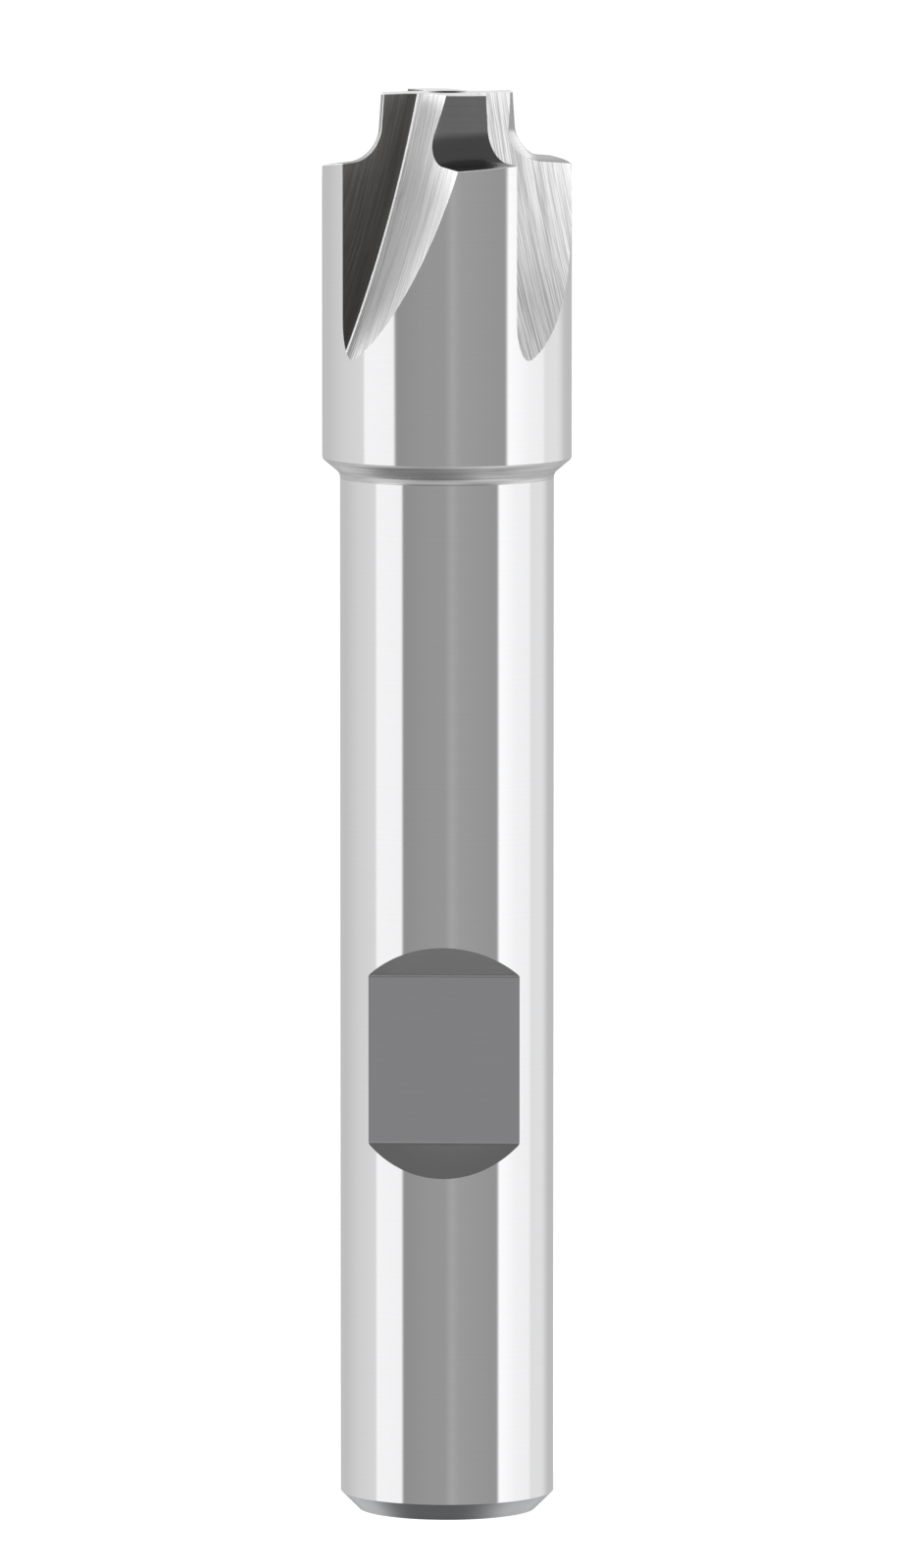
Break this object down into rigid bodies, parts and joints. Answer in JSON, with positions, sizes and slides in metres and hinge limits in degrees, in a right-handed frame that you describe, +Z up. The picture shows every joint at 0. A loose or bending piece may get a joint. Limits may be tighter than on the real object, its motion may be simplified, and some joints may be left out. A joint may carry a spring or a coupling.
{
  "type": "corner rounding end mill",
  "caption": "Corner rounding end mill: straight shank with a clamping flat, and a wider fluted head whose edges carry a concave quarter round above a short nose.",
  "frame": {"origin": "centre of the shank's end face, the face that the cutter stands on", "axes": "+Z up the cutter's axis from the shank to the nose, -Y out of the clamping flat, +X to the right when the flat faces the viewer"},
  "size_m": [0.0112, 0.0112, 0.0635],
  "materials": {
    "ground_steel": "bright ground high speed steel, with the grinding lines left in the flutes"
  },
  "bodies": {
    "root": {"cutter_body": "ground_steel"}
  },
  "joints": []
}
